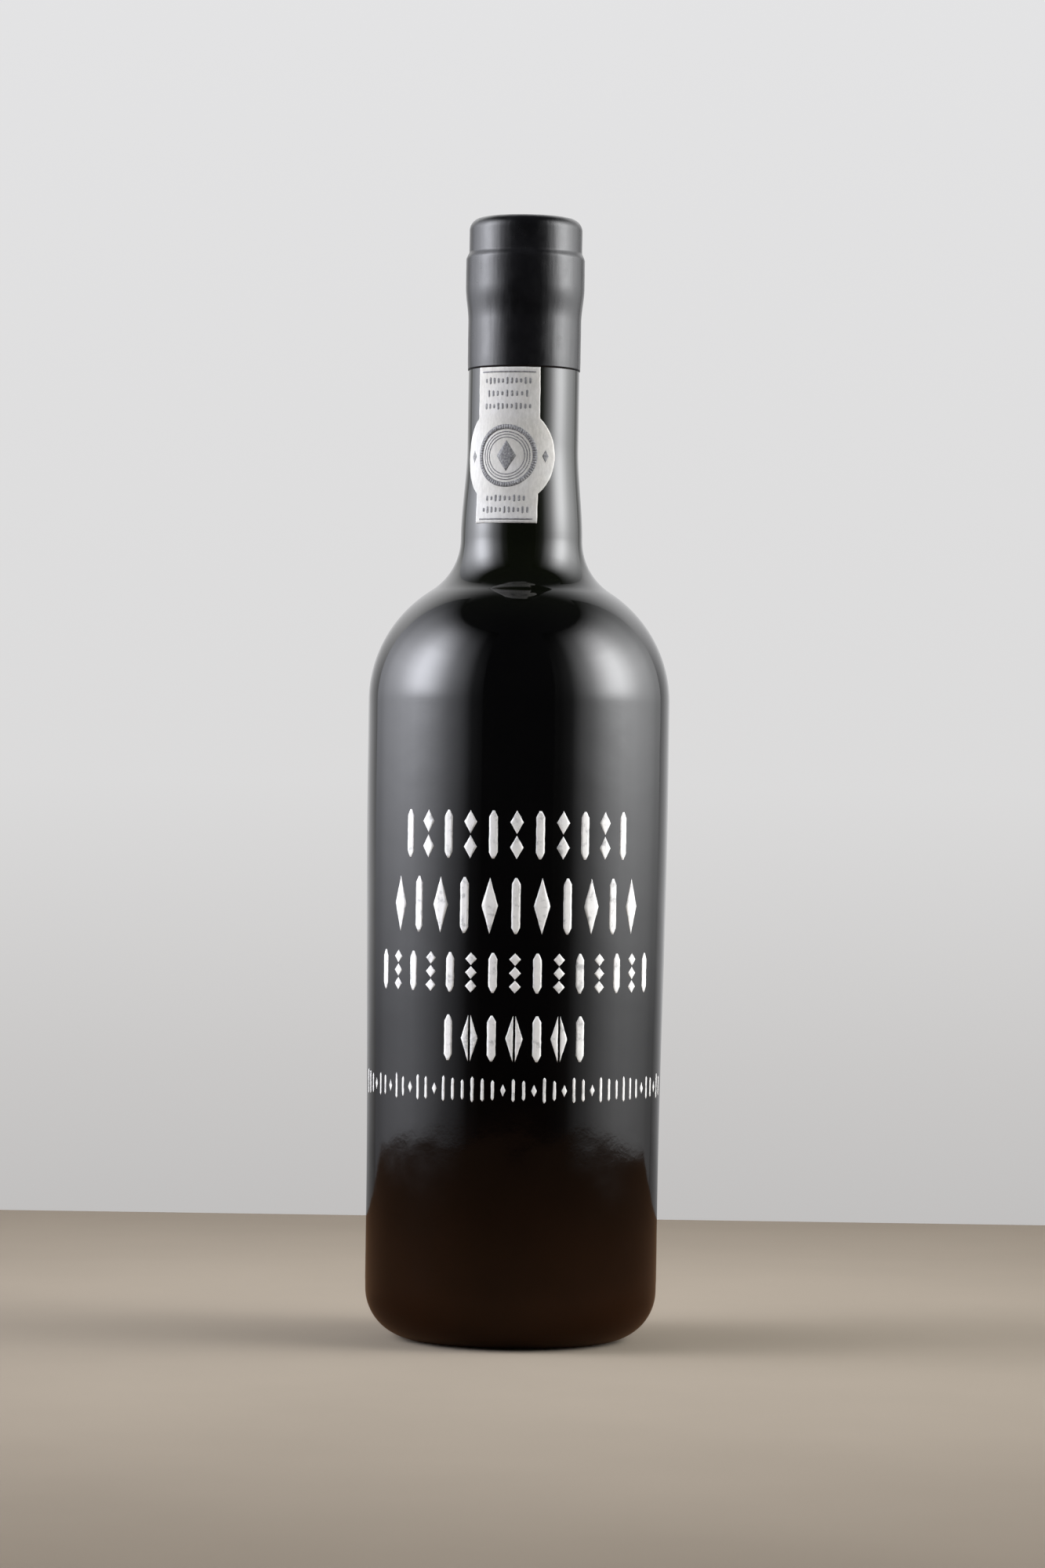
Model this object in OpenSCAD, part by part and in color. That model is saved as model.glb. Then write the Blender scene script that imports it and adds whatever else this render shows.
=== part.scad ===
// Fortified-wine bottle: dark glass, a close-fitting capsule over the mouth, and a paper seal on the neck.
// It stands on its bearing ring at z = 0, with its axis on +Z and its front towards -Y.

/* [Body] */
// Height of the glass, from the bearing ring to the top of the lip
glass_h = 291.7; // [260:0.1:400]
// Diameter of the body under the shoulder, where it is widest
body_d = 78.5; // [64:0.5:110]
// Diameter of the body above the heel
foot_d = 76; // [62:0.5:100]
// Height above the base at which the body starts to widen
taper_low_z = 34; // [18:1:70]
// Height of the spring line, where the shoulder starts to curve in
shoulder_z = 166; // [120:1:200]
// Length of the full-width band under the spring line
full_width_h = 20; // [5:1:40]
// Radius of the round shoulder
shoulder_r = 34; // [26:0.5:44]

/* [Base] */
// Radius of the heel, from the side of the body into the bearing ring
heel_r = 13; // [4:0.5:16]
// Width of the flat ring on which the bottle stands
bearing_w = 2.5; // [1:0.1:5]
// Height of the push-up inside the bearing ring
punt_h = 16; // [4:0.5:35]

/* [Neck] */
// Diameter at the foot of the neck
neck_low_d = 31.7; // [29:0.1:44]
// Diameter of the straight upper neck
neck_d = 28.9; // [24:0.1:36]
// Radius of the hollow curve from the shoulder into the neck
root_r = 16; // [5:0.5:20]
// Length over which the neck narrows, above its foot
neck_taper_h = 24; // [10:1:36]

/* [Finish] */
// Diameter of the ring under the lip
ring_d = 30.4; // [28:0.1:44]
// Height of the ring's straight face
ring_h = 7; // [2:0.5:12]
// Height of the slope from the neck out to the ring
ring_slope_h = 9; // [3:0.5:14]
// Height of the step from the ring in to the lip
ring_step_h = 2.2; // [1:0.1:4]
// Diameter of the lip above the ring
lip_d = 28.9; // [22:0.1:40]
// Height of the lip above the step
lip_h = 8.5; // [6:0.5:14]
// Radius of the lip's top edge
lip_edge_r = 3; // [0.5:0.1:5]

/* [Capsule] */
// Length of the glass that the capsule covers, from the top of the lip down
capsule_h = 39.4; // [30:0.1:60]
// Thickness of the capsule
capsule_t = 0.3; // [0.2:0.05:1]

/* [Seal] */
// Width of the paper strip, measured round the neck
strip_w = 17.2; // [8:0.1:20.5]
// Length of the strip below the capsule's edge
strip_h = 40.4; // [34:0.1:60]
// Diameter of the round middle, measured round the neck
disc_d = 26; // [21:0.1:34]
// Distance from the capsule's edge to the centre of the round middle
disc_drop = 23; // [18:0.5:28]
// Thickness of the paper
paper_t = 0.2; // [0.1:0.05:0.5]
// Turn of the seal's centre line from the front, towards -X, in degrees
seal_turn = 17; // [0:0.5:90]

/* [Hidden] */
$fn = 96;
// Segments in each curved stretch of the outline
steps = 16;

body_r = body_d / 2;
foot_r = foot_d / 2;
neck_low_r = neck_low_d / 2;
neck_r = neck_d / 2;
ring_r = ring_d / 2;
lip_r = lip_d / 2;

// The flat bearing ring, and where the widening stops
bearing_out_r = foot_r - heel_r;
bearing_in_r = bearing_out_r - bearing_w;
taper_high_z = shoulder_z - full_width_h;

// The shoulder and the neck's root are two arcs that touch, with their centres one sum of radii apart
shoulder_c = [body_r - shoulder_r, shoulder_z];
join_a = acos((neck_low_r + root_r - shoulder_c[0]) / (shoulder_r + root_r));
root_z = shoulder_z + (shoulder_r + root_r) * sin(join_a);
root_c = [neck_low_r + root_r, root_z];

// Heights of the finish, counted down from the top of the lip
step_z = glass_h - lip_h;
ring_top_z = step_z - ring_step_h;
ring_low_z = ring_top_z - ring_h;
slope_z = ring_low_z - ring_slope_h;
capsule_edge_z = glass_h - capsule_h;

// 0 to 1 with no slope at either end
function ease(t) = t * t * (3 - 2 * t);

function arc(c, r, a0, a1) =
    [for (i = [0 : steps]) let (a = a0 + (a1 - a0) * i / steps) c + r * [cos(a), sin(a)]];

// A smooth change of radius between two points of the outline
function s_curve(p, q) =
    [for (i = [0 : steps]) let (t = i / steps) [p[0] + (q[0] - p[0]) * ease(t), p[1] + (q[1] - p[1]) * t]];

// The neck narrows from its foot, then runs straight
function neck_radius(z) =
    neck_low_r + (neck_r - neck_low_r) * ease(min(1, (z - root_z) / neck_taper_h));

function neck_path(z0, z1) =
    [for (i = [0 : steps]) let (z = z0 + (z1 - z0) * i / steps) [neck_radius(z), z]];

function reversed(p) = [for (i = [len(p) - 1 : -1 : 0]) p[i]];

// The path without repeated points
function distinct(p) = [for (i = [0 : len(p) - 1]) if (i == 0 || norm(p[i] - p[i - 1]) > 0.001) p[i]];

// The path without the points that lie on a straight line between their neighbours
function without_idle(p) =
    [for (i = [0 : len(p) - 1])
        if (i == 0 || i == len(p) - 1 || abs(cross(p[i] - p[i - 1], p[i + 1] - p[i])) > 0.00001) p[i]];

function clean(p) = without_idle(distinct(p));

// The path moved outwards by t, away from the axis side
function grown(p, t) =
    [for (i = [0 : len(p) - 1])
        let (d = p[min(i + 1, len(p) - 1)] - p[max(i - 1, 0)])
        p[i] + t / norm(d) * [d[1], -d[0]]];

// The push-up under the base, from its middle out to the bearing ring
function base_path() =
    [for (i = [0 : steps]) let (t = i / steps) [bearing_in_r * t, punt_h * ease(1 - t)]];

// The side of the body, from the bearing ring to the spring line
function body_path() = concat(
    arc([bearing_out_r, heel_r], heel_r, -90, 0),
    s_curve([foot_r, taper_low_z], [body_r, taper_high_z]));

// The shoulder, the root and the bare part of the neck, up to the capsule's edge
function bare_path() = concat(
    arc(shoulder_c, shoulder_r, 0, join_a),
    arc(root_c, root_r, 180 + join_a, 180),
    neck_path(root_z, capsule_edge_z));

// The covered part of the neck and the finish, up to the middle of the lip
function covered_path() = concat(
    neck_path(capsule_edge_z, slope_z),
    s_curve([neck_r, slope_z], [ring_r, ring_low_z]),
    s_curve([ring_r, ring_top_z], [lip_r, step_z]),
    arc([lip_r - lip_edge_r, glass_h - lip_edge_r], lip_edge_r, 0, 90),
    [[0, glass_h]]);

module shell(path, t) {
    inner = clean(path);
    rotate_extrude() polygon(concat(inner, reversed(grown(inner, t))));
}

// Half the width that a length round the neck has when it is seen from straight ahead
function seen(s) = neck_r * sin(s / neck_r * 180 / PI);

// The seal laid flat: a strip with a round middle
module seal_outline() {
    half_w = strip_w / 2;
    disc_r = disc_d / 2;
    disc_c = [0, capsule_edge_z - disc_drop];
    low_z = capsule_edge_z - strip_h;
    meet_a = acos(half_w / disc_r);
    flat = concat(
        [[half_w, capsule_edge_z]],
        arc(disc_c, disc_r, meet_a, -meet_a),
        [[half_w, low_z], [-half_w, low_z]],
        arc(disc_c, disc_r, 180 + meet_a, 180 - meet_a),
        [[-half_w, capsule_edge_z]]);
    polygon([for (p = flat) [seen(p[0]), p[1]]]);
}

module bottle() {
    color([0.03, 0.028, 0.025])
        rotate_extrude() polygon(clean(concat(base_path(), body_path(), bare_path(), covered_path())));
}

module capsule() {
    color([0.05, 0.05, 0.055]) shell(covered_path(), capsule_t);
}

module seal() {
    color([0.86, 0.86, 0.84])
        intersection() {
            shell(bare_path(), paper_t);
            rotate([0, 0, -seal_turn]) rotate([90, 0, 0]) linear_extrude(body_d) seal_outline();
        }
}

bottle();
capsule();
seal();
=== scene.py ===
"""Looks of a shut bottle of fortified wine: dark glass, printed front, black capsule and paper seal."""
import math

import bpy
import numpy as np
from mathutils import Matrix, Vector, noise


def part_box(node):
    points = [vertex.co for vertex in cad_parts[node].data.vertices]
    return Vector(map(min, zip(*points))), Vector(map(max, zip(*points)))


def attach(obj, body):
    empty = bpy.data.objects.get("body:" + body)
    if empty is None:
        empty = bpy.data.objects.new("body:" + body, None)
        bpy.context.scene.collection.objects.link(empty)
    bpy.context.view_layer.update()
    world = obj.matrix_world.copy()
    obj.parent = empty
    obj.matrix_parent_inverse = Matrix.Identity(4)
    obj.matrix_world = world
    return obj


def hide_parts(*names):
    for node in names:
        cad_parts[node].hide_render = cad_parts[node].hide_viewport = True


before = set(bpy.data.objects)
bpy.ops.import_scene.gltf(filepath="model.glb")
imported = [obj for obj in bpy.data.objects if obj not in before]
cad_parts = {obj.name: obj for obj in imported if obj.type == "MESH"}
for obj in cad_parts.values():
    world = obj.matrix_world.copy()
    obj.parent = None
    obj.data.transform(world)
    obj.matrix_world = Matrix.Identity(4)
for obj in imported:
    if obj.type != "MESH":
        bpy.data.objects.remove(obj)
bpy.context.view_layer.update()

MM = 0.001

# ---------------------------------------------------------------- sizes, in metres
# Places that the frame gives
BODY_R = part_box("bottle")[1].x
GLASS_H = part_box("bottle")[1].z
CAPSULE_EDGE_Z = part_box("capsule")[0].z
CAPSULE_TOP_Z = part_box("capsule")[1].z
SEAL_LOW_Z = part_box("seal")[0].z
CAPSULE_T = CAPSULE_TOP_Z - GLASS_H

# The outline's own sizes, as in the CAD model
FOOT_R = 38 * MM
HEEL_R = 13 * MM
BEARING_W = 2.5 * MM
PUNT_H = 16 * MM
TAPER_LOW_Z = 34 * MM
SHOULDER_Z = 166 * MM
TAPER_HIGH_Z = SHOULDER_Z - 20 * MM
SHOULDER_R = 34 * MM
NECK_LOW_R = 15.85 * MM
NECK_R = 14.45 * MM
ROOT_R = 16 * MM
NECK_TAPER_H = 24 * MM
RING_R = 15.2 * MM
LIP_R = 14.45 * MM
LIP_EDGE_R = 3 * MM
STEP_Z = GLASS_H - 8.5 * MM
RING_TOP_Z = STEP_Z - 2.2 * MM
RING_LOW_Z = RING_TOP_Z - 7 * MM
SLOPE_Z = RING_LOW_Z - 9 * MM
BEARING_OUT_R = FOOT_R - HEEL_R
BEARING_IN_R = BEARING_OUT_R - BEARING_W

# The seal, measured round the neck
STRIP_HALF = 8.6 * MM
DISC_R = 13 * MM
DISC_Z = CAPSULE_EDGE_Z - 23 * MM
SEAL_TURN = math.radians(17)
PAPER_T = 0.2 * MM

# How far the hidden faces of thin pieces lie inside what they cover
PAPER_DEPTH = 0.2 * MM
CAPSULE_DEPTH = 0.1 * MM
PRINT_DEPTH = 0.1 * MM
INK_LIFT = 0.03 * MM
INK_DEPTH = 0.08 * MM

# The least half width of a printed mark, so that its tips stay closed
LEAST_HALF = 0.02 * MM

# How far the visible glass lies inside the CAD outline, which leaves room for seams and paint
INSET = 0.12 * MM

SHOULDER_CR = BODY_R - SHOULDER_R
JOIN_A = math.acos((NECK_LOW_R + ROOT_R - SHOULDER_CR) / (SHOULDER_R + ROOT_R))
ROOT_Z = SHOULDER_Z + (SHOULDER_R + ROOT_R) * math.sin(JOIN_A)
JOIN_Z = SHOULDER_Z + SHOULDER_R * math.sin(JOIN_A)


# ---------------------------------------------------------------- outline
def ease(t):
    """0 to 1 with no slope at either end, and flat outside."""
    t = min(1.0, max(0.0, t))
    return t * t * (3 - 2 * t)


def arc(r, z, radius, a0, a1, steps):
    angles = [a0 + (a1 - a0) * i / steps for i in range(steps + 1)]
    return [(r + radius * math.cos(a), z + radius * math.sin(a)) for a in angles]


def s_curve(p, q, steps):
    shares = [i / steps for i in range(steps + 1)]
    return [(p[0] + (q[0] - p[0]) * ease(t), p[1] + (q[1] - p[1]) * t) for t in shares]


def neck_radius(z):
    return NECK_LOW_R + (NECK_R - NECK_LOW_R) * ease((z - ROOT_Z) / NECK_TAPER_H)


def glass_radius(z):
    """Outside radius of the glass between the heel and the capsule's edge."""
    if z < HEEL_R:
        return BEARING_OUT_R + math.sqrt(HEEL_R ** 2 - (HEEL_R - z) ** 2)
    if z < SHOULDER_Z:
        return FOOT_R + (BODY_R - FOOT_R) * ease((z - TAPER_LOW_Z) / (TAPER_HIGH_Z - TAPER_LOW_Z))
    if z < JOIN_Z:
        return SHOULDER_CR + math.sqrt(SHOULDER_R ** 2 - (z - SHOULDER_Z) ** 2)
    if z < ROOT_Z:
        return NECK_LOW_R + ROOT_R - math.sqrt(ROOT_R ** 2 - (ROOT_Z - z) ** 2)
    return neck_radius(z)


def covered_path(z0):
    """The neck above z0, and the finish, up to the middle of the lip."""
    half_pi = math.pi / 2
    return (
        [(neck_radius(z0 + (SLOPE_Z - z0) * i / 24), z0 + (SLOPE_Z - z0) * i / 24) for i in range(25)]
        + s_curve((NECK_R, SLOPE_Z), (RING_R, RING_LOW_Z), 32)
        + [(RING_R, RING_LOW_Z + (RING_TOP_Z - RING_LOW_Z) * i / 8) for i in range(1, 8)]
        + s_curve((RING_R, RING_TOP_Z), (LIP_R, STEP_Z), 20)
        + arc(LIP_R - LIP_EDGE_R, GLASS_H - LIP_EDGE_R, LIP_EDGE_R, 0, half_pi, 20)
        + [((LIP_R - LIP_EDGE_R) * (1 - i / 16), GLASS_H) for i in range(1, 17)]
    )


def glass_path():
    """The whole outside of the glass, from the middle of the push-up to the middle of the lip."""
    half_pi = math.pi / 2
    punt = [(BEARING_IN_R * t / 40, PUNT_H * ease(1 - t / 40)) for t in range(41)]
    ring = [(BEARING_IN_R + BEARING_W * i / 6, 0) for i in range(1, 6)]
    side = [(glass_radius(z), z) for z in np.linspace(HEEL_R, SHOULDER_Z, 130)]
    return (
        punt
        + ring
        + arc(BEARING_OUT_R, HEEL_R, HEEL_R, -half_pi, 0, 24)
        + side[1:]
        + arc(SHOULDER_CR, SHOULDER_Z, SHOULDER_R, 0, JOIN_A, 56)[1:]
        + arc(NECK_LOW_R + ROOT_R, ROOT_Z, ROOT_R, math.pi + JOIN_A, math.pi, 28)[1:]
        + [(neck_radius(z), z) for z in np.linspace(ROOT_Z, CAPSULE_EDGE_Z, 40)][1:]
        + covered_path(CAPSULE_EDGE_Z)[1:]
    )


# ---------------------------------------------------------------- mesh helpers
def new_piece(name, verts, faces, material):
    mesh = bpy.data.meshes.new(name)
    mesh.from_pydata([tuple(v) for v in verts], [], faces)
    mesh.update()
    mesh.validate()
    mesh.materials.append(material)
    mesh.polygons.foreach_set("use_smooth", [True] * len(mesh.polygons))
    piece = bpy.data.objects.new(name, mesh)
    bpy.context.scene.collection.objects.link(piece)
    return piece


def normals_of(path):
    """Unit normals of a path of (r, z) points that runs up the outside."""
    p = np.array(path)
    d = np.gradient(p, axis=0)
    n = np.stack([d[:, 1], -d[:, 0]], 1)
    return n / np.linalg.norm(n, axis=1)[:, None]


def distinct(path, least=1e-6):
    kept = [path[0]]
    for p in path[1:]:
        if math.dist(p, kept[-1]) > least:
            kept.append(p)
    return kept


def turned(path, angles, relief):
    """Rings of vertices of a turned shape, with a single point on the axis.

    relief(angle, r, z) moves a point along the outline's normal.
    """
    path = distinct(path)
    normals = normals_of(path)
    rings = []
    for (r, z), (nr, nz) in zip(path, normals):
        if r < 1e-7:
            rings.append([(0.0, 0.0, z + nz * relief(0.0, 0.0, z))])
            continue
        ring = []
        for a in angles:
            d = relief(a, r, z)
            rr = r + nr * d
            ring.append((rr * math.sin(a), -rr * math.cos(a), z + nz * d))
        rings.append(ring)
    return rings


def skinned(rings):
    """Joins rings of vertices into faces, with a fan where a ring is a single point."""
    verts, starts = [], []
    for ring in rings:
        starts.append(len(verts))
        verts += ring
    faces = []
    for i in range(len(rings) - 1):
        a, b = rings[i], rings[i + 1]
        n = max(len(a), len(b))
        for j in range(n):
            k = (j + 1) % n
            if len(a) == 1:
                faces.append((starts[i], starts[i + 1] + k, starts[i + 1] + j))
            elif len(b) == 1:
                faces.append((starts[i] + j, starts[i] + k, starts[i + 1]))
            else:
                faces.append((starts[i] + j, starts[i] + k, starts[i + 1] + k, starts[i + 1] + j))
    return verts, faces


def mm_noise(x, y, z, size, shift=0.0):
    """Smooth noise of about -1 to 1, with features of the given size."""
    return noise.noise(Vector((x / size + shift, y / size - shift, z / size + 2 * shift)))


def sheet_piece(patches, name, material):
    """One mesh from several closed thin patches: each has an outer and an inner grid of the same shape."""
    verts, faces = [], []
    for outer, inner in patches:
        rows, cols = len(outer), len(outer[0])
        start = len(verts)
        count = rows * cols
        for grid in (outer, inner):
            for row in grid:
                verts += row
        for i in range(rows - 1):
            for j in range(cols - 1):
                a = start + i * cols + j
                faces.append((a, a + 1, a + cols + 1, a + cols))
                b = a + count
                faces.append((b, b + cols, b + cols + 1, b + 1))
        rim = [start + j for j in range(cols)]
        rim += [start + i * cols + cols - 1 for i in range(1, rows)]
        rim += [start + (rows - 1) * cols + j for j in range(cols - 2, -1, -1)]
        rim += [start + i * cols for i in range(rows - 2, 0, -1)]
        for k, a in enumerate(rim):
            b = rim[(k + 1) % len(rim)]
            faces.append((b, a, a + count, b + count))
    return new_piece(name, verts, faces, material)


# ---------------------------------------------------------------- material helpers
# Where they take a material, these take a world as well
def new_material(name):
    material = bpy.data.materials.new(name)
    material.use_nodes = True
    nodes = material.node_tree.nodes
    nodes.clear()
    out = nodes.new("ShaderNodeOutputMaterial")
    shader = nodes.new("ShaderNodeBsdfPrincipled")
    material.node_tree.links.new(shader.outputs["BSDF"], out.inputs["Surface"])
    return material, shader


def add_node(material, kind, **settings):
    node = material.node_tree.nodes.new(kind)
    for key, value in settings.items():
        if key in node.inputs:
            node.inputs[key].default_value = value
        else:
            setattr(node, key.lower(), value)
    return node


def link(material, source, target):
    material.node_tree.links.new(source, target)


def place(material, scale=(1, 1, 1)):
    """Object coordinates in metres, stretched by scale."""
    coords = add_node(material, "ShaderNodeTexCoord")
    mapping = add_node(material, "ShaderNodeMapping", Scale=scale)
    link(material, coords.outputs["Object"], mapping.inputs["Vector"])
    return mapping.outputs["Vector"]


def noise_of(material, scale, detail=3.0, roughness=0.5, stretch=(1, 1, 1)):
    node = add_node(material, "ShaderNodeTexNoise", Scale=scale, Detail=detail, Roughness=roughness)
    link(material, place(material, stretch), node.inputs["Vector"])
    return node.outputs["Fac"]


def ramp_of(material, source, stops, ease_in=True):
    """A colour ramp with (place, colour) stops."""
    node = add_node(material, "ShaderNodeValToRGB")
    node.color_ramp.interpolation = "EASE" if ease_in else "LINEAR"
    elements = node.color_ramp.elements
    while len(elements) < len(stops):
        elements.new(0.5)
    for element, (where, colour) in zip(elements, stops):
        element.position = where
        element.color = (*colour, 1)
    link(material, source, node.inputs["Fac"])
    return node.outputs["Color"]


def range_of(material, source, low, high, to_low, to_high, smooth=False):
    """Maps low to high onto to_low to to_high, held at both ends."""
    node = add_node(material, "ShaderNodeMapRange")
    node.interpolation_type = "SMOOTHSTEP" if smooth else "LINEAR"
    node.inputs["From Min"].default_value = low
    node.inputs["From Max"].default_value = high
    node.inputs["To Min"].default_value = to_low
    node.inputs["To Max"].default_value = to_high
    link(material, source, node.inputs["Value"])
    return node.outputs["Result"]


def mixed(material, share, a, b, blend="MIX"):
    """Mixes two colours, each an output or a tuple, by an output or a number."""
    node = add_node(material, "ShaderNodeMix", data_type="RGBA", blend_type=blend)
    for socket, value in ((node.inputs[0], share), (node.inputs[6], a), (node.inputs[7], b)):
        if isinstance(value, bpy.types.NodeSocket):
            link(material, value, socket)
        else:
            socket.default_value = value if isinstance(value, float) else (*value, 1)
    return node.outputs[2]


def bump_of(material, height, strength, distance, below=None):
    node = add_node(material, "ShaderNodeBump", Strength=strength, Distance=distance)
    link(material, height, node.inputs["Height"])
    if below is not None:
        link(material, below, node.inputs["Normal"])
    return node.outputs["Normal"]


def height_above_base(material):
    coords = add_node(material, "ShaderNodeTexCoord")
    split = add_node(material, "ShaderNodeSeparateXYZ")
    link(material, coords.outputs["Object"], split.inputs["Vector"])
    return split.outputs["Z"]


# ---------------------------------------------------------------- materials
def glass_material():
    """Near-black bottle glass over dark wine, black in the body; the olive in the neck and the amber at the
    heel are a painted glow of light through thin glass.
    """
    material, shader = new_material("dark_glass")
    z = range_of(material, height_above_base(material), 0, GLASS_H, 0, 1)
    # Painted glow: the amber heel stops and the olive neck stops stand in for light shining through the
    # glass
    tint = ramp_of(material, z, [
        (0.00, (0.0120, 0.0040, 0.0014)),
        (0.07, (0.0058, 0.0022, 0.0010)),
        (0.19, (0.0018, 0.0011, 0.0009)),
        (0.30, (0.0013, 0.0011, 0.0011)),
        (0.62, (0.0013, 0.0013, 0.0013)),
        (0.72, (0.0034, 0.0042, 0.0018)),
        (0.90, (0.0042, 0.0052, 0.0022)),
    ])
    cloud = range_of(material, noise_of(material, 38, 4), 0.3, 0.7, 0.65, 1.25)
    colour = mixed(material, 1.0, tint, cloud, "MULTIPLY")
    link(material, colour, shader.inputs["Base Color"])
    smudge = noise_of(material, 55, 5, 0.6)
    link(material, range_of(material, smudge, 0.35, 0.75, 0.035, 0.085), shader.inputs["Roughness"])
    shader.inputs["IOR"].default_value = 1.52
    ripple = bump_of(material, noise_of(material, 120, 1, 0.4), 0.06, 0.0004)
    grain = bump_of(material, noise_of(material, 900, 2), 0.012, 0.0002, ripple)
    link(material, grain, shader.inputs["Normal"])
    return material


def capsule_material():
    """Satin black capsule film, shrunk on, with faint vertical pull lines and scuffs."""
    material, shader = new_material("black_capsule")
    blotch = noise_of(material, 140, 4, 0.6)
    colour = ramp_of(material, blotch, [(0.3, (0.0035, 0.0035, 0.0040)), (0.75, (0.0080, 0.0080, 0.0088))])
    link(material, colour, shader.inputs["Base Color"])
    scuff = noise_of(material, 260, 5, 0.65)
    link(material, range_of(material, scuff, 0.3, 0.75, 0.17, 0.30), shader.inputs["Roughness"])
    shader.inputs["IOR"].default_value = 1.42
    pulls = bump_of(material, noise_of(material, 420, 3, 0.5, (1, 1, 0.12)), 0.22, 0.0003)
    grain = bump_of(material, noise_of(material, 2600, 2), 0.10, 0.0001, pulls)
    link(material, grain, shader.inputs["Normal"])
    return material


def paper_material():
    """Uncoated pale paper with fibres and a slightly soiled tone."""
    material, shader = new_material("seal_paper")
    fibre = noise_of(material, 1500, 4, 0.7, (1, 1, 0.35))
    tone = ramp_of(material, fibre, [(0.30, (0.455, 0.45, 0.435)), (0.70, (0.565, 0.56, 0.545))])
    stain = ramp_of(material, noise_of(material, 90, 3), [(0.35, (0.93, 0.915, 0.88)), (0.70, (1, 1, 1))])
    link(material, mixed(material, 1.0, tone, stain, "MULTIPLY"), shader.inputs["Base Color"])
    link(material, range_of(material, fibre, 0.3, 0.7, 0.62, 0.80), shader.inputs["Roughness"])
    link(material, bump_of(material, fibre, 0.35, 0.00012), shader.inputs["Normal"])
    return material


def enamel_material():
    """Fired white enamel print: matt, a little thin and worn in patches."""
    material, shader = new_material("white_enamel")
    thin = noise_of(material, 420, 5, 0.65)
    colour = ramp_of(material, thin, [
        (0.28, (0.40, 0.40, 0.40)),
        (0.50, (0.74, 0.735, 0.72)),
        (0.80, (0.82, 0.815, 0.80)),
    ])
    link(material, colour, shader.inputs["Base Color"])
    link(material, range_of(material, thin, 0.3, 0.7, 0.55, 0.34), shader.inputs["Roughness"])
    link(material, bump_of(material, noise_of(material, 1800, 3), 0.25, 0.0001), shader.inputs["Normal"])
    return material


def ink_material():
    """Grey letterpress ink that lets some paper through."""
    material, shader = new_material("grey_ink")
    grain = noise_of(material, 2200, 3, 0.6)
    colour = ramp_of(material, grain, [(0.35, (0.10, 0.10, 0.105)), (0.75, (0.27, 0.27, 0.27))])
    link(material, colour, shader.inputs["Base Color"])
    link(material, range_of(material, grain, 0.3, 0.7, 0.50, 0.70), shader.inputs["Roughness"])
    link(material, bump_of(material, grain, 0.2, 0.00008), shader.inputs["Normal"])
    return material


# Painted pool of light on the floor: the lit colour near the bottle and the painted shade further out
FLOOR_PAINTED_LIT = (0.265, 0.228, 0.182)
FLOOR_PAINTED_SHADE = (0.150, 0.126, 0.098)
# A painted reflection: to glossy rays the floor is tinted darker brown, so the glass mirrors it like dark
# wood
FLOOR_PAINTED_REFLECTION = (0.36, 0.24, 0.17)


def floor_material():
    """Pale matt floor, barely uneven, with a painted pool of light that is lighter near the bottle and
    darker further out, and a painted darker reflection for glossy rays. It is clear from below, so the base
    can be looked at.
    """
    material, shader = new_material("pale_floor")
    coords = add_node(material, "ShaderNodeTexCoord")
    away = add_node(material, "ShaderNodeVectorMath", operation="LENGTH")
    link(material, coords.outputs["Object"], away.inputs[0])
    # Painted pool of light: the floor's colour darkens with distance from the bottle
    painted_falloff = range_of(material, away.outputs["Value"], 0.08, 0.55, 0, 1)
    tone = ramp_of(material, painted_falloff, [(0.0, FLOOR_PAINTED_LIT), (1.0, FLOOR_PAINTED_SHADE)])
    cloud = range_of(material, noise_of(material, 7, 4, 0.55), 0.3, 0.7, 0.96, 1.04)
    painted_pool_tone = mixed(material, 1.0, tone, cloud, "MULTIPLY")
    # Painted reflection: glossy rays see a darker brown floor than the camera does
    ray = add_node(material, "ShaderNodeLightPath")
    painted_reflection_tone = mixed(material, 1.0, painted_pool_tone, FLOOR_PAINTED_REFLECTION, "MULTIPLY")
    either_tone = mixed(material, ray.outputs["Is Glossy Ray"], painted_pool_tone, painted_reflection_tone)
    link(material, either_tone, shader.inputs["Base Color"])
    shader.inputs["Roughness"].default_value = 1.0
    shader.inputs["Specular IOR Level"].default_value = 0.0
    link(material, bump_of(material, noise_of(material, 500, 3), 0.05, 0.0002), shader.inputs["Normal"])
    clear = add_node(material, "ShaderNodeBsdfTransparent")
    side = add_node(material, "ShaderNodeNewGeometry")
    either = add_node(material, "ShaderNodeMixShader")
    link(material, side.outputs["Backfacing"], either.inputs["Fac"])
    link(material, shader.outputs["BSDF"], either.inputs[1])
    link(material, clear.outputs["BSDF"], either.inputs[2])
    out = next(n for n in material.node_tree.nodes if n.type == "OUTPUT_MATERIAL")
    link(material, either.outputs["Shader"], out.inputs["Surface"])
    return material


def panel_material(name, tint):
    """Glow of a light panel, from its mesh's own attribute."""
    material = bpy.data.materials.new(name)
    material.use_nodes = True
    nodes = material.node_tree.nodes
    nodes.clear()
    out = nodes.new("ShaderNodeOutputMaterial")
    glow = nodes.new("ShaderNodeEmission")
    glow.inputs["Color"].default_value = (*tint, 1)
    level = nodes.new("ShaderNodeAttribute")
    level.attribute_name = "glow"
    link(material, level.outputs["Fac"], glow.inputs["Strength"])
    link(material, glow.outputs["Emission"], out.inputs["Surface"])
    return material


# ---------------------------------------------------------------- the bottle's glass
WAVE = 0.03 * MM
SEAM_H = 0.08 * MM
SEAM_W = 0.35 * MM
HEEL_SEAM_Z = HEEL_R + 1.5 * MM
KNURLS = 60
# Degrees between the glass's columns of points, and the extra columns beside each seam
GLASS_STEP = 2
SEAM_COLUMNS = (-1.2, -0.8, -0.5, -0.25, 0.25, 0.5, 0.8, 1.2)


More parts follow.
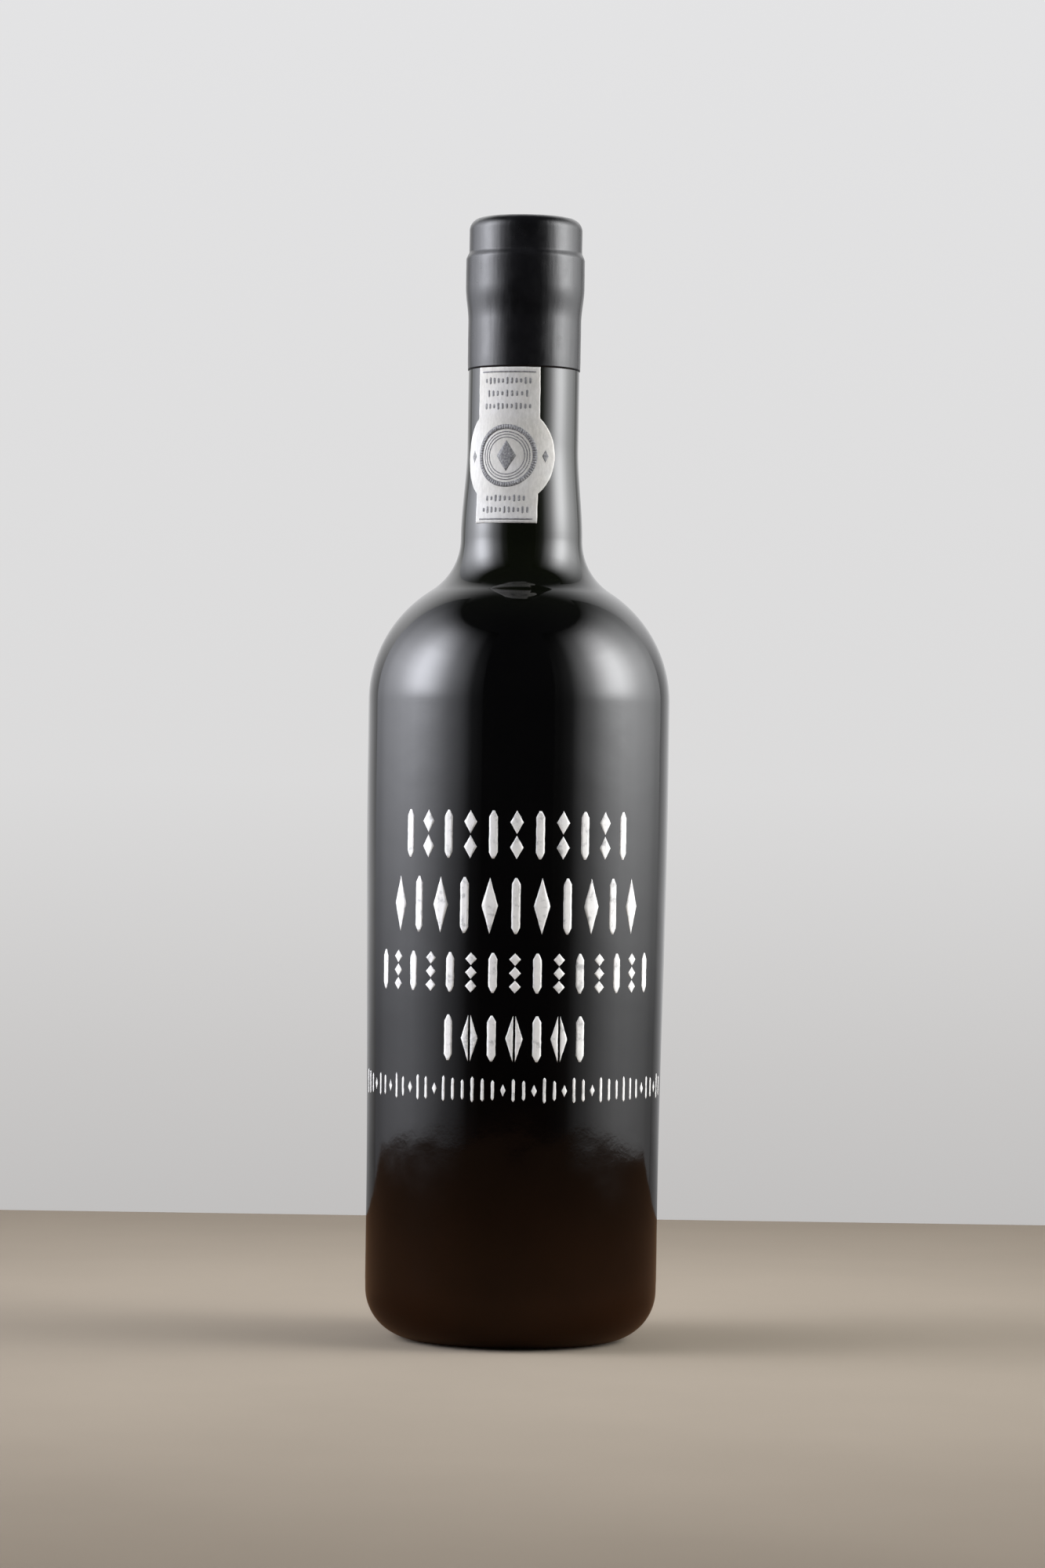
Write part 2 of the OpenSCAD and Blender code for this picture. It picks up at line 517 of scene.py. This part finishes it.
def glass_relief(angle, r, z):
    """How far the visible glass lies outside the CAD outline; always inside it, so below zero."""
    x, y = r * math.sin(angle), -r * math.cos(angle)
    wave = WAVE * (0.6 * mm_noise(x, y, z, 0.024) + 0.4 * mm_noise(x, y, z, 0.010, 3.3))
    across = r * min(abs(abs(angle) - math.pi / 2), math.pi)
    seam = 0.0
    if z > HEEL_SEAM_Z:
        seam = SEAM_H * math.exp(-((across / SEAM_W) ** 2))
    heel_seam = 0.0
    if r > FOOT_R - 1 * MM:
        heel_seam = 0.4 * SEAM_H * math.exp(-(((z - HEEL_SEAM_Z) / (0.5 * MM)) ** 2))
    knurl = 0.0
    if z < 0.4 * MM and r > BEARING_IN_R - 0.3 * MM:
        knurl = INSET * 0.75 * max(0.0, math.sin(KNURLS * angle))
    return -INSET + wave + max(seam, heel_seam, knurl)


def make_glass(material):
    angles = set(range(-180, 180, GLASS_STEP))
    for side in (-90, 90):
        angles |= {side + d for d in SEAM_COLUMNS}
    angles = [math.radians(a) for a in sorted(angles)]
    verts, faces = skinned(turned(glass_path(), angles, glass_relief))
    piece = new_piece("bottle_glass", verts, faces, material)
    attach(piece, "root")
    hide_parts("bottle")


# ---------------------------------------------------------------- the capsule
def capsule_relief(angle, r, z):
    """Wrinkles under the ring, a crimp at the lower edge, a lap at the back and a circle on top."""
    x, y = r * math.sin(angle), -r * math.cos(angle)
    dent = 0.03 * MM * (1 + mm_noise(x, y, z, 0.007))
    slope = math.exp(-(((z - SLOPE_Z - 3 * MM) / (3.2 * MM)) ** 2))
    folds = mm_noise(math.sin(angle) * 0.03, math.cos(angle) * 0.03, z * 0.1, 0.0028)
    pleat = 0.05 * MM * slope * max(0.0, folds)
    edge = math.exp(-(((z - CAPSULE_EDGE_Z) / (1.6 * MM)) ** 2))
    tuck = 0.10 * MM * edge * (0.6 + 0.4 * mm_noise(x, y, z, 0.005, 5.1))
    lap = 0.0
    if r > 8 * MM:
        across = abs(abs(angle) - math.pi) * r
        lap = 0.09 * MM * math.exp(-(((across - 1.5 * MM) / (0.3 * MM)) ** 2))
    disc = 0.0
    if z > CAPSULE_TOP_Z - 1 * MM:
        disc = 0.14 * MM * math.exp(-(((r - 10.6 * MM) / (0.45 * MM)) ** 2))
    return -(dent + pleat + tuck + lap + disc)


def make_capsule(material):
    outer = distinct(covered_path(CAPSULE_EDGE_Z))
    normals = normals_of(outer)
    outside = [
        (max(0.0, r + nr * CAPSULE_T), z + nz * CAPSULE_T)
        for (r, z), (nr, nz) in zip(outer, normals)
    ]
    outside[-1] = (0.0, CAPSULE_TOP_Z)
    angles = [math.radians(a) for a in np.arange(-180, 180, 2.25)]
    rings = turned(outside, angles, capsule_relief)
    inside = turned([(max(0.0, r - CAPSULE_DEPTH), z) for r, z in outer], angles, lambda a, r, z: 0.0)
    inside[-1] = [(0.0, 0.0, GLASS_H - CAPSULE_DEPTH)]
    verts, faces = skinned(inside[::-1] + rings)
    piece = new_piece("capsule_skin", verts, faces, material)
    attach(piece, "root")
    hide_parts("capsule")


# ---------------------------------------------------------------- the paper seal
def seal_point(s, z, lift):
    """A point s along the arc from the seal's middle, at height z, lift above the glass."""
    r = neck_radius(z)
    a = -SEAL_TURN + s / r
    return ((r + lift) * math.sin(a), -(r + lift) * math.cos(a), z)


def seal_half(z):
    d = abs(z - DISC_Z)
    disc = math.sqrt(DISC_R ** 2 - d ** 2) if d < DISC_R else 0.0
    return max(STRIP_HALF, disc)


def seal_rows():
    """Heights of the seal's rows of points, closer where the disc meets the strip."""
    join = math.sqrt(DISC_R ** 2 - STRIP_HALF ** 2)
    marks = [SEAL_LOW_Z, DISC_Z - join, DISC_Z, DISC_Z + join, CAPSULE_EDGE_Z - 0.05 * MM]
    rows = []
    for low, high in zip(marks, marks[1:]):
        steps = max(2, round((high - low) / (0.55 * MM)))
        rows += [low + (high - low) * i / steps for i in range(steps)]
    return rows + [marks[-1]]


def paper_lift(s, z):
    """Outer face of the paper: slight cockles, and corners pressed down."""
    cockle = 0.5 + 0.5 * mm_noise(s, z, 0.0, 0.0055, 1.7)
    return PAPER_T - 0.06 * MM * cockle


def make_seal(material):
    cols = 49
    outer, inner = [], []
    for z in seal_rows():
        half = seal_half(z) + 0.10 * MM * mm_noise(0, 0, z, 0.0025, 9.0)
        places = [half * (2 * j / (cols - 1) - 1) for j in range(cols)]
        outer.append([seal_point(s, z, paper_lift(s, z)) for s in places])
        inner.append([seal_point(s, z, -PAPER_DEPTH) for s in places])
    piece = sheet_piece([(outer, inner)], "seal_paper", material)
    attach(piece, "root")
    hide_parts("seal")


def seal_patch(outline, cols=5):
    """A thin inked patch on the paper from (z, left, right) rows."""
    outer, inner = [], []
    for z, left, right in outline:
        places = [left + (right - left) * j / (cols - 1) for j in range(cols)]
        outer.append([seal_point(s, z, paper_lift(s, z) + INK_LIFT) for s in places])
        inner.append([seal_point(s, z, paper_lift(s, z) - INK_DEPTH) for s in places])
    return outer, inner


def ring_patches(middle, radius, width, parts=72):
    """A printed circle, as one closed band per part of its turn."""
    patches = []
    for i in range(parts):
        a0, a1 = (2 * math.pi * (i + d) / parts for d in (0.0, 1.0))
        corners = [[(radius + side * width / 2, a) for a in (a1, a0)] for side in (1, -1)]
        outer, inner = [], []
        for row in corners:
            points = [(rr * math.sin(a), middle + rr * math.cos(a)) for rr, a in row]
            outer.append([seal_point(s, z, paper_lift(s, z) + INK_LIFT) for s, z in points])
            inner.append([seal_point(s, z, paper_lift(s, z) - INK_DEPTH) for s, z in points])
        patches.append((outer, inner))
    return patches


def lozenge_rows(middle, s, half_w, half_h, rows=9):
    heights = [middle - half_h + 2 * half_h * i / (rows - 1) for i in range(rows)]
    widths = [max(LEAST_HALF, half_w * (1 - abs(z - middle) / half_h)) for z in heights]
    return [(z, s - w, s + w) for z, w in zip(heights, widths)]


def bar_rows(low, high, s, half_w, tip, rows=9):
    """An upright bar whose two ends taper over the length tip."""
    even = {low + (high - low) * i / (rows - 1) for i in range(rows)}
    heights = sorted({low, low + tip, high - tip, high} | even)
    out = []
    for z in heights:
        share = min(1.0, (z - low) / tip, (high - z) / tip) if tip > 0 else 1.0
        w = max(LEAST_HALF, half_w * (0.25 + 0.75 * share))
        out.append((z, s - w, s + w))
    return out


def make_seal_print(material):
    patches = ring_patches(DISC_Z, 7.5 * MM, 1.25 * MM)
    for radius in (6.2 * MM, 5.5 * MM, 4.8 * MM):
        patches += ring_patches(DISC_Z, radius, 0.28 * MM)
    patches.append(seal_patch(lozenge_rows(DISC_Z, 0, 2.6 * MM, 4.0 * MM)))
    for side in (-1, 1):
        patches.append(seal_patch(lozenge_rows(DISC_Z, side * 10.3 * MM, 0.9 * MM, 1.6 * MM)))
    rows = [
        (CAPSULE_EDGE_Z - 3.6 * MM, 6.0 * MM, 11),
        (CAPSULE_EDGE_Z - 6.9 * MM, 5.2 * MM, 9),
        (CAPSULE_EDGE_Z - 10.2 * MM, 6.0 * MM, 11),
        (DISC_Z - 11.0 * MM, 5.0 * MM, 9),
        (DISC_Z - 14.0 * MM, 6.0 * MM, 11),
    ]
    for number, (z, half, count) in enumerate(rows):
        for i in range(count):
            s = half * (2 * i / (count - 1) - 1)
            tall = (0.55 + 0.12 * ((i * 7 + number * 3) % 4)) * MM
            patches.append(seal_patch(bar_rows(z - tall, z + tall, s, 0.3 * MM, 0.2 * MM, 5), 3))
    for z in (CAPSULE_EDGE_Z - 1.3 * MM, SEAL_LOW_Z + 1.0 * MM):
        line = [(z - 0.2 * MM, -7.4 * MM, 7.4 * MM), (z + 0.2 * MM, -7.4 * MM, 7.4 * MM)]
        patches.append(seal_patch(line, 25))
    piece = sheet_piece(patches, "seal_print", material)
    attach(piece, "root")


# ---------------------------------------------------------------- the printed front
PRINT_LIFT = 0.07 * MM
# Its share across a mark, from edge to edge
PRINT_PROFILE = (0.35, 0.9, 1.0, 0.9, 0.35)


def glass_point(s, z, lift):
    """A point s along the arc from the front, at height z, lift above the visible glass."""
    r = glass_radius(z)
    a = s / r
    r += glass_relief(a, r, z) + lift
    return (r * math.sin(a), -r * math.cos(a), z)


def print_patch(outline, seed):
    """A thin enamel patch on the glass from (z, left, right) rows, with slightly uneven edges."""
    cols = len(PRINT_PROFILE)
    outer, inner = [], []
    for z, left, right in outline:
        wide = right - left
        ragged = min(0.09 * MM, wide * 0.2)
        left += ragged * mm_noise(left, 0, z, 0.0011, seed)
        right += ragged * mm_noise(right, 0, z, 0.0011, seed + 4)
        places = [left + (right - left) * j / (cols - 1) for j in range(cols)]
        outer.append([glass_point(s, z, PRINT_LIFT * e) for s, e in zip(places, PRINT_PROFILE)])
        inner.append([glass_point(s, z, -PRINT_DEPTH) for s in places])
    return outer, inner


def spindle(low, high, s, half_w):
    return [bar_rows(low, high, s, half_w, min(1.6 * MM, (high - low) / 3), 17)]


def lozenge(low, high, s, half_w):
    return [lozenge_rows((low + high) / 2, s, half_w, (high - low) / 2, 17)]


def split_lozenge(low, high, s, half_w, gap):
    """A lozenge cut by an upright gap into two darts."""
    out = []
    for side in (-1, 1):
        rows = lozenge_rows((low + high) / 2, 0, half_w, (high - low) / 2, 17)
        if side < 0:
            out.append([(z, s + left - gap / 2, s - gap / 2) for z, left, right in rows])
        else:
            out.append([(z, s + gap / 2, s + gap / 2 + right) for z, left, right in rows])
    return out


def lozenge_stack(low, high, s, half_w, count, gap):
    tall = (high - low - gap * (count - 1)) / count
    out = []
    for i in range(count):
        z = low + i * (tall + gap)
        out += lozenge(z, z + tall, s, half_w)
    return out


def band(low, high, count, pitch, kinds):
    """A row of evenly spaced ornaments round the front, whose kinds take turns."""
    marks = []
    for i in range(count):
        s = (i - (count - 1) / 2) * pitch
        kind = kinds[i % len(kinds)]
        if kind == "spindle":
            marks += spindle(low, high, s, 1.1 * MM)
        elif kind == "tall":
            marks += lozenge(low, high, s, 2.1 * MM)
        elif kind == "darts":
            marks += split_lozenge(low, high, s, 1.9 * MM, 0.6 * MM)
        elif kind == "pair":
            marks += lozenge_stack(low, high, s, 1.7 * MM, 2, 0.5 * MM)
        elif kind == "three":
            marks += lozenge_stack(low, high, s, 1.5 * MM, 3, 0.3 * MM)
    return marks


def fine_band(low, high, count, pitch):
    """A row of small strokes of uneven height, with a dot here and there."""
    marks = []
    for i in range(count):
        s = (i - (count - 1) / 2) * pitch
        kind = (i * 5 + i // 4) % 4
        if kind == 3:
            marks += lozenge(low + 1.6 * MM, high - 1.8 * MM, s, 0.7 * MM)
        else:
            marks += [bar_rows(low + 0.3 * MM * kind, high - 0.4 * MM * kind, s, 0.38 * MM, 0.5 * MM, 7)]
    return marks


PRINT_ROWS = [
    band(125.6 * MM, 137.8 * MM, 11, 6.0 * MM, ["spindle", "pair"]),
    band(106.6 * MM, 120.8 * MM, 11, 6.7 * MM, ["tall", "spindle"]),
    band(91.6 * MM, 101.7 * MM, 15, 5.7 * MM, ["spindle", "three"]),
    band(74.2 * MM, 85.8 * MM, 7, 5.8 * MM, ["spindle", "darts"]),
    fine_band(63.8 * MM, 70.2 * MM, 41, 2.65 * MM),
]


def make_print(material):
    for number, row in enumerate(PRINT_ROWS, 1):
        patches = [print_patch(outline, 1.3 * i + number) for i, outline in enumerate(row)]
        piece = sheet_piece(patches, f"print_row_{number}", material)
        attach(piece, "root")


# ---------------------------------------------------------------- floor, light and camera
FLOOR_R = 0.64
FLOOR_BACK_Y = 0.362
PANEL_R = 1.3
PANEL_TINT = {-1: (0.96, 0.975, 1.05), 1: (0.99, 0.995, 1.01)}
# Degrees by which a panel's glow begins further back. It fades out over SHIFT_FADE before SHIFT_END.
PANEL_SHIFT = {-1: 0.0, 1: 4.5}
SHIFT_END = 75
SHIFT_FADE = 30
# Glow round the bottle, by the angle from the front, of the wide soft part of a panel
WIDE_GLOW = [
    (27, 0.05), (36, 0.16), (45, 1.0), (55, 1.8), (65, 3.1), (75, 4.1), (86, 4.8),
    (98, 4.2), (112, 2.8), (129, 1.2), (138, 0.8),
]
# Its share at each height, in metres, and the share of the bright middle
WIDE_SHARE = [
    (-0.10, 0.24), (0.0, 0.36), (0.14, 0.82), (0.176, 1.0), (0.29, 1.17), (0.44, 1.35),
    (0.60, 1.5), (0.80, 1.45), (0.96, 1.25), (1.2, 1.0), (1.45, 0.70), (1.8, 0.32), (2.1, 0.12), (2.4, 0.0),
]
MIDDLE_SHARE = [
    (0.16, 0.0), (0.23, 0.36), (0.34, 0.85), (0.42, 1.0), (0.98, 0.95), (1.15, 0.62),
    (1.4, 0.36), (1.65, 0.18), (2.0, 0.03), (2.4, 0.0),
]
MIDDLE_GLOW = 7.0
MIDDLE_ANGLE = 80
MIDDLE_WIDTH = 17


def read_off(stops, place):
    """Straight-line reading of a list of (place, value) stops."""
    places, values = zip(*stops)
    return float(np.interp(place, places, values))


def panel_glow(side, degrees, height):
    """A tall soft light whose middle, above the bottle's own height, is brighter and narrower."""
    turn = PANEL_SHIFT[side] * min(1.0, max(0.0, (SHIFT_END - degrees) / SHIFT_FADE))
    wide = read_off(WIDE_GLOW, degrees - turn) * read_off(WIDE_SHARE, height)
    hump = math.exp(-(((degrees - MIDDLE_ANGLE) / MIDDLE_WIDTH) ** 2))
    return wide + MIDDLE_GLOW * hump * read_off(MIDDLE_SHARE, height)


def make_panel(side):
    """A curved soft light beside the bottle; side is -1 for the left and 1 for the right."""
    name = "panel_left" if side < 0 else "panel_right"
    degrees = np.linspace(WIDE_GLOW[0][0], WIDE_GLOW[-1][0], 56)
    heights = np.linspace(WIDE_SHARE[0][0], WIDE_SHARE[-1][0], 76)
    verts, levels, faces = [], [], []
    for h in heights:
        for d in degrees:
            a = side * math.radians(d)
            verts.append((PANEL_R * math.sin(a), -PANEL_R * math.cos(a), h))
            levels.append(panel_glow(side, d, h))
    cols = len(degrees)
    for i in range(len(heights) - 1):
        for j in range(cols - 1):
            a = i * cols + j
            quad = (a, a + 1, a + cols + 1, a + cols)
            faces.append(quad if side < 0 else quad[::-1])
    panel = new_piece(name, verts, faces, panel_material(name, PANEL_TINT[side]))
    glow = panel.data.attributes.new("glow", "FLOAT", "POINT")
    glow.data.foreach_set("value", levels)
    panel.visible_camera = False


def make_floor(material):
    """One level sheet round the bottle, round in front and at the sides, with a straight back edge."""
    turns, steps = 144, 16
    rings = [[(0.0, 0.0, 0.0)]]
    for i in range(1, steps + 1):
        ring = []
        for j in range(turns):
            a = 2 * math.pi * j / turns
            reach = min(FLOOR_R, FLOOR_BACK_Y / max(math.cos(a), 1e-6)) * i / steps
            ring.append((reach * math.sin(a), reach * math.cos(a), 0.0))
        rings.append(ring)
    verts, faces = skinned(rings)
    new_piece("floor", verts, faces, material)


# The backdrop that the camera sees, by its height; its lower part is a painted shade, darker towards the
# floor
BACKDROP = [
    (0.0, (0.47, 0.46, 0.455)),
    (0.20, (0.59, 0.58, 0.575)),
    (0.375, (0.71, 0.705, 0.705)),
    (1.0, (0.79, 0.79, 0.80)),
]
# The room that the glass mirrors: in front, behind, and behind and above
ROOM_DIM = (0.020, 0.020, 0.023)
ROOM_PALE = (0.72, 0.72, 0.73)
ROOM_BRIGHT = (1.35, 1.35, 1.37)
# What is left of it below the floor's level
ROOM_LOW_SHARE = 0.30


def make_world():
    """A pale backdrop for the camera, and for other rays a pale room behind and a dim one in front."""
    world = bpy.data.worlds.new("studio")
    bpy.context.scene.world = world
    world.use_nodes = True
    world.node_tree.nodes.clear()
    coords = add_node(world, "ShaderNodeTexCoord")
    split = add_node(world, "ShaderNodeSeparateXYZ")
    link(world, coords.outputs["Generated"], split.inputs["Vector"])
    behind, above = split.outputs["Y"], split.outputs["Z"]

    backdrop = ramp_of(world, range_of(world, above, -0.12, 0.20, 0, 1), BACKDROP, ease_in=False)
    room = mixed(world, range_of(world, behind, 0.45, 1.0, 0, 1, True), ROOM_DIM, ROOM_PALE)
    upper = mixed(world, range_of(world, behind, 0.28, 0.75, 0, 1, True), ROOM_DIM, ROOM_BRIGHT)
    whole = mixed(world, range_of(world, above, 0.05, 0.50, 0, 1, True), room, upper)
    dimmed = add_node(world, "ShaderNodeVectorMath", operation="SCALE")
    link(world, whole, dimmed.inputs[0])
    low = range_of(world, above, -0.085, -0.030, ROOM_LOW_SHARE, 1)
    link(world, low, dimmed.inputs["Scale"])

    ray = add_node(world, "ShaderNodeLightPath")
    choice = mixed(world, ray.outputs["Is Camera Ray"], dimmed.outputs["Vector"], backdrop)
    background = add_node(world, "ShaderNodeBackground")
    link(world, choice, background.inputs["Color"])
    out = add_node(world, "ShaderNodeOutputWorld")
    link(world, background.outputs["Background"], out.inputs["Surface"])


CAMERA_AT = (0.0012, -1.3, 0.1446)
CAMERA_ROLL = math.radians(-0.85)
CAMERA_LENS = 114.4
CAMERA_SENSOR = 36


def make_camera():
    """Level with the middle of the body, straight in front, turned a little about its own axis."""
    data = bpy.data.cameras.new("camera")
    data.lens = CAMERA_LENS
    data.sensor_width = CAMERA_SENSOR
    data.clip_start = 0.01
    data.clip_end = 20
    camera = bpy.data.objects.new("camera", data)
    camera.location = CAMERA_AT
    camera.rotation_euler = (math.radians(90), CAMERA_ROLL, 0)
    bpy.context.scene.collection.objects.link(camera)
    bpy.context.scene.camera = camera


# ---------------------------------------------------------------- the scene
make_glass(glass_material())
make_capsule(capsule_material())
make_seal(paper_material())
make_seal_print(ink_material())
make_print(enamel_material())
make_floor(floor_material())
make_panel(-1)
make_panel(1)
make_world()
make_camera()
bpy.context.scene.view_settings.view_transform = "Standard"
